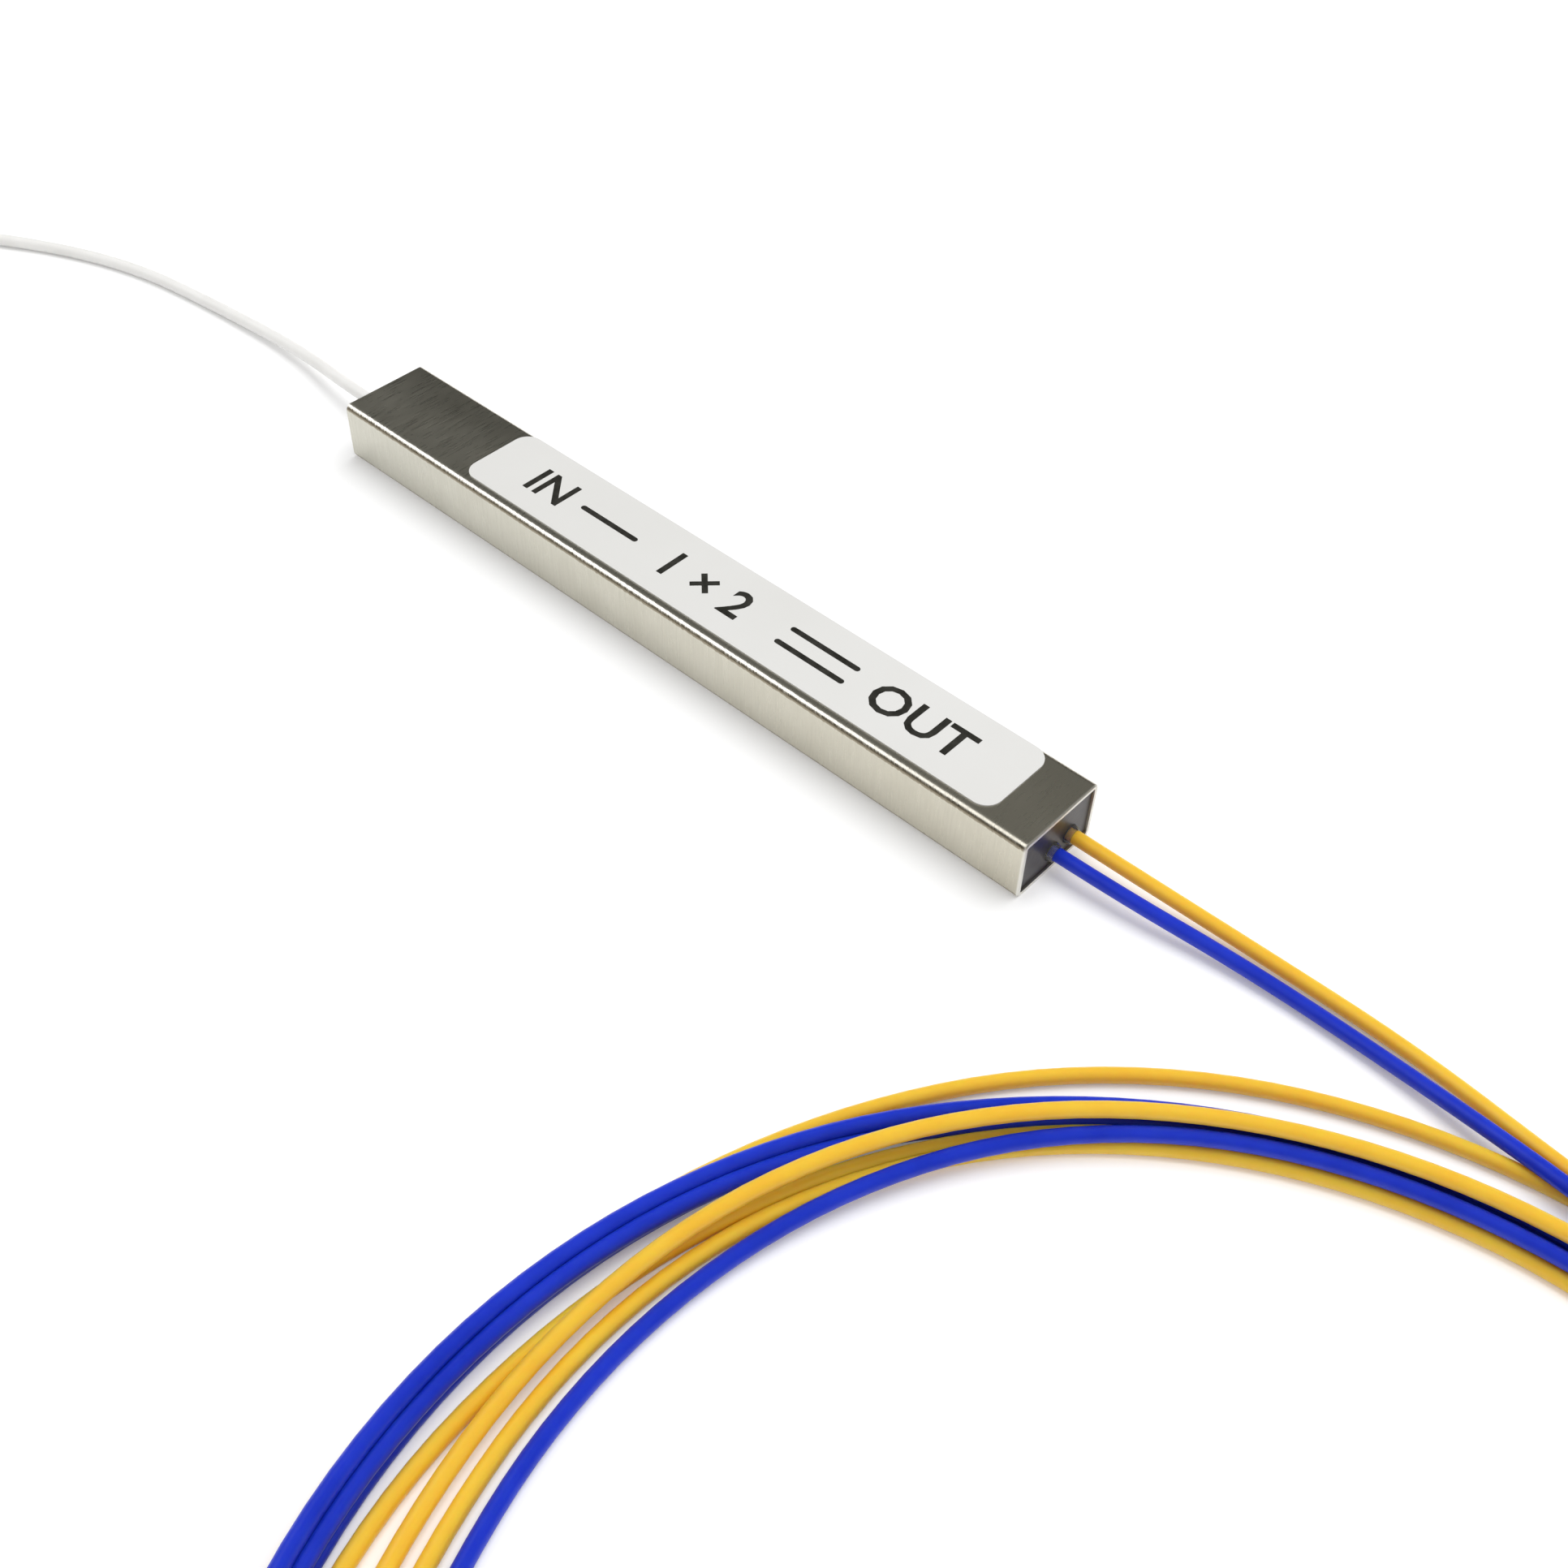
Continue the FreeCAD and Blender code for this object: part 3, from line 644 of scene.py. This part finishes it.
# %% Glass, silicon, silicone and coated fibre
optical_glass, tree, shader = new_finish(
    "optical_glass", {"Roughness": 0.05, "Transmission Weight": 0.9, "IOR": 1.47}
)
polish = use_group(tree, mottle, Patches_per_metre=1200.0).outputs["Mottle"]
paint(tree, shader, polish, (0.93, 0.96, 0.95, 1.0), (0.98, 0.99, 0.985, 1.0))

silicon, tree, shader = new_finish("silicon", {"Roughness": 0.16, "Metallic": 0.6})
oxide = use_group(tree, mottle, Patches_per_metre=700.0).outputs["Mottle"]
paint(tree, shader, oxide, (0.16, 0.17, 0.22, 1.0), (0.23, 0.23, 0.30, 1.0))

silicone, tree, shader = new_finish("silicone", {"Roughness": 0.45})
cured = use_group(tree, mottle, Patches_per_metre=500.0).outputs["Mottle"]
paint(tree, shader, cured, (0.66, 0.66, 0.64, 1.0), (0.76, 0.76, 0.74, 1.0))
relief(tree, shader, cured, 0.02)

fibre_coating, tree, shader = new_finish("fibre_coating", {"Roughness": 0.25})
wet = use_group(tree, mottle, Patches_per_metre=900.0).outputs["Mottle"]
paint(tree, shader, wet, (0.74, 0.72, 0.62, 1.0), (0.84, 0.82, 0.72, 1.0))

# %% The tie of the white coil
tie_film, tree, shader = new_finish("tie_film", {"Roughness": 0.35})
creases = use_group(tree, grain, Stretch=(1400.0, 1400.0, 5200.0), Softness=0.5).outputs["Grain"]
paint(tree, shader, creases, (0.68, 0.68, 0.66, 1.0), (0.80, 0.80, 0.78, 1.0))
relief(tree, shader, creases, 0.02)

# %% [markdown]
# ## Who wears which finish
#
# The CAD nodes keep their shapes, and only the material in their slots changes.
# A table from finish to nodes shows at a glance what is made of what.

# %% Give every CAD node its finish
NODE_FINISH = {
    stainless: ("steel_tube",),
    label_film: ("label",),
    dark_resin: ("input_end_plug", "output_end_plug"),
    clear_adhesive: (
        "white_lead_bead",
        "blue_lead_bead",
        "orange_lead_bead",
        "input_joint",
        "output_joint",
        "input_array_glue",
        "output_array_glue",
    ),
    silicone: ("chip_bed",),
    silicon: ("chip_substrate",),
    optical_glass: (
        "chip_input_lid",
        "chip_output_lid",
        "input_array_base",
        "input_array_lid",
        "output_array_base",
        "output_array_lid",
    ),
    fibre_coating: ("input_fibre", "output_fibre_blue", "output_fibre_orange"),
    white_tube: ("white_lead", "white_lead_coil"),
    blue_tube: ("blue_lead", "output_lead_coil"),
    orange_tube: ("orange_lead",),
    tie_film: ("white_coil_tie",),
}
for finish, names in NODE_FINISH.items():
    for name in names:
        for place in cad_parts[name].material_slots:
            place.material = finish
print("finished nodes:", sum(len(names) for names in NODE_FINISH.values()), "of", len(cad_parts))

# %% [markdown]
# ## The print on the label
#
# A label printer lays down a film of ink too thin to feel.
# A text object gives clean letter shapes, and it is turned into a mesh like any other piece.
# The print is generic: the way in, one line that becomes two, and the way out.

# %% Where the print goes
LABEL_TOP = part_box("label")[1][2]
PRINT_MIDDLE = 0.2 * MM
INK = 0.006 * MM


def lay_ink(name, mesh, middle):
    """Moves a flat mesh so that the middle of its outline is where it is wanted on the label."""
    xs, ys = [v.co.x for v in mesh.vertices], [v.co.y for v in mesh.vertices]
    own_middle = Vector(((min(xs) + max(xs)) / 2, (min(ys) + max(ys)) / 2, 0.0))
    mesh.transform(Matrix.Translation(Vector((middle, PRINT_MIDDLE, LABEL_TOP + INK)) - own_middle))
    mesh.materials.clear()
    mesh.materials.append(label_ink)
    piece = bpy.data.objects.new(name, mesh)
    scene.collection.objects.link(piece)
    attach(piece, "root")
    print(name, "is", round((max(xs) - min(xs)) / MM, 1), "mm long")
    return piece


# %% Print the words
LETTER_SIZE = 3.5 * MM
BOLDER = 0.055 * MM  # what the ink spreads past the edge of a letter


def print_word(name, word, middle):
    letters = bpy.data.curves.new(name, "FONT")
    letters.body = word
    letters.size = LETTER_SIZE
    letters.extrude = INK / 2
    letters.offset = BOLDER
    letters.resolution_u = 3
    sample = bpy.data.objects.new(name + "_sample", letters)
    scene.collection.objects.link(sample)
    bpy.context.view_layer.update()
    solid = sample.evaluated_get(bpy.context.evaluated_depsgraph_get())
    mesh = bpy.data.meshes.new_from_object(solid)
    bpy.data.objects.remove(sample)
    return lay_ink(name, mesh, middle * MM)


print_word("print_way_in", "IN", -12.6)
print_word("print_split", "1 \u00d7 2", 1.9)
print_word("print_way_out", "OUT", 19.4)

# %% Print the lines between them
LINE_WIDTH = 0.42
HALF_ROUND = 9  # points round one end of a line


def print_line(name, length, middle, rises):
    """A line with round ends for each rise above the middle of the print."""
    points, faces = [], []
    for rise in rises:
        faces.append(range(len(points), len(points) + 2 * HALF_ROUND))
        for side, start in ((1, -90), (-1, 90)):
            for step in range(HALF_ROUND):
                angle = math.radians(start + step * 180 / (HALF_ROUND - 1))
                x = side * (length - LINE_WIDTH) / 2 + LINE_WIDTH / 2 * math.cos(angle)
                points.append((x * MM, (rise + LINE_WIDTH / 2 * math.sin(angle)) * MM, 0))
    mesh = bpy.data.meshes.new(name)
    mesh.from_pydata(points, [], faces)
    return lay_ink(name, mesh, middle * MM)


print_line("print_line_in", 5.2, -7.1, (0.0,))
print_line("print_lines_out", 5.6, 11.2, (0.75, -0.75))

# %% [markdown]
# ## The stage
#
# The part lies in a tent of even white light: a pale floor, a bright horizon and a dark ceiling.
# The steel shows why: its side mirrors the floor, and its top mirrors the dark ceiling.
# The camera sees the floor as white, but the floor keeps the soft shadow under the part.

# %% The floor
floor_white = bpy.data.materials.new("floor_white")
floor_white.use_nodes = True
tree = floor_white.node_tree
shader = tree.nodes["Principled BSDF"]
shader.inputs["Base Color"].default_value = (0.92, 0.92, 0.92, 1.0)
shader.inputs["Roughness"].default_value = 0.9
shader.inputs["Specular IOR Level"].default_value = 0.0
rays = add_node(tree, "ShaderNodeLightPath")
mirrored = sum_up(tree, "MAXIMUM", rays.outputs["Is Glossy Ray"], rays.outputs["Is Transmission Ray"])
seen = sum_up(tree, "MAXIMUM", rays.outputs["Is Camera Ray"], mirrored)
lift = sum_up(tree, "MULTIPLY", seen, 0.16)
glow = add_node(tree, "ShaderNodeEmission", {"Color": (1.0, 1.0, 1.0, 1.0), "Strength": lift})
both = add_node(tree, "ShaderNodeAddShader", {0: shader.outputs["BSDF"], 1: glow.outputs["Emission"]})
tree.links.new(both.outputs["Shader"], tree.nodes["Material Output"].inputs["Surface"])
FLOOR_REACH = 2.0
corners = [(x * FLOOR_REACH, y * FLOOR_REACH, 0.0) for x, y in ((-1, -1), (1, -1), (1, 1), (-1, 1))]
mesh = bpy.data.meshes.new("floor")
mesh.from_pydata(corners, [], [(0, 1, 2, 3)])
mesh.materials.append(floor_white)
floor = bpy.data.objects.new("floor", mesh)
scene.collection.objects.link(floor)
print("floor laid")

# %% [markdown]
# The light is given by the kind of ray that asks for it.
# The lens sees plain white, a mirror sees a horizon and a dim ceiling, and everything else gets even light.
# One broad panel overhead draws the soft shadow, and mirrors don't see it.

# %% The light of the tent
world = bpy.data.worlds.new("tent")
scene.world = world
world.use_nodes = True
tree = world.node_tree
rays = add_node(tree, "ShaderNodeLightPath")
looking = add_node(tree, "ShaderNodeTexCoord").outputs["Generated"]
direction = add_node(tree, "ShaderNodeSeparateXYZ", {"Vector": looking})
ceiling = add_node(tree, "ShaderNodeValToRGB", {"Fac": direction.outputs["Z"]})
# What a mirror sees, from the horizon up: how high it looks, and the colour there.
CEILING = (
    (0.10, (0.42, 0.38, 0.31, 1.0)),
    (0.43, (0.030, 0.030, 0.028, 1.0)),
    (0.56, (0.035, 0.035, 0.034, 1.0)),
    (0.72, (0.20, 0.20, 0.192, 1.0)),
)
while len(ceiling.color_ramp.elements) < len(CEILING):
    ceiling.color_ramp.elements.new(1.0)
for element, (position, value) in zip(ceiling.color_ramp.elements, CEILING):
    element.position = position
    element.color = value
OPENING = (-0.55, -0.29, 0.78)  # the way to a bright opening in the tent, up and to the input side
facing = add_node(tree, "ShaderNodeVectorMath", {0: looking, 1: OPENING}, operation="DOT_PRODUCT")
opening = add_node(
    tree,
    "ShaderNodeMapRange",
    {"Value": facing.outputs["Value"], "From Min": 0.86, "From Max": 0.96},
    interpolation_type="SMOOTHSTEP",
)
reflected = blend_colours(tree, opening.outputs["Result"], ceiling.outputs["Color"], (1.7, 1.68, 1.64, 1.0))
mirrored = add_node(tree, "ShaderNodeBackground", {"Color": reflected, "Strength": 1.0})
even = add_node(tree, "ShaderNodeBackground", {"Color": (1.0, 1.0, 1.0, 1.0), "Strength": 0.63})
backdrop = add_node(tree, "ShaderNodeBackground", {"Color": (1.0, 1.0, 1.0, 1.0), "Strength": 1.0})


def choose(share, first, second):
    return add_node(tree, "ShaderNodeMixShader", {0: share, 1: first.outputs[0], 2: second.outputs[0]})


light = choose(rays.outputs["Is Glossy Ray"], even, mirrored)
shown = choose(rays.outputs["Is Camera Ray"], light, backdrop)
tree.links.new(shown.outputs[0], tree.nodes["World Output"].inputs["Surface"])
print("tent lit")

# %% The overhead panel
lamp_data = bpy.data.lights.new("overhead_panel", "AREA")
lamp_data.shape = "DISK"
lamp_data.size = 0.5
lamp_data.energy = 1.95
lamp = bpy.data.objects.new("overhead_panel", lamp_data)
scene.collection.objects.link(lamp)
lamp.location = (0.05, 0.18, 0.555)
lamp.visible_glossy = False
lamp.rotation_mode = "QUATERNION"
lamp.rotation_quaternion = (Vector((0.0, 0.0, 0.0)) - lamp.location).to_track_quat("-Z", "Y")
print("lamp at", tuple(lamp.location))

# %% [markdown]
# ## The view and the end
#
# The Standard view shows a colour about as it is written.

# %% The plain view
scene.view_settings.view_transform = "Standard"
print("view:", scene.view_settings.view_transform)

# %% Finish
bpy.context.view_layer.update()
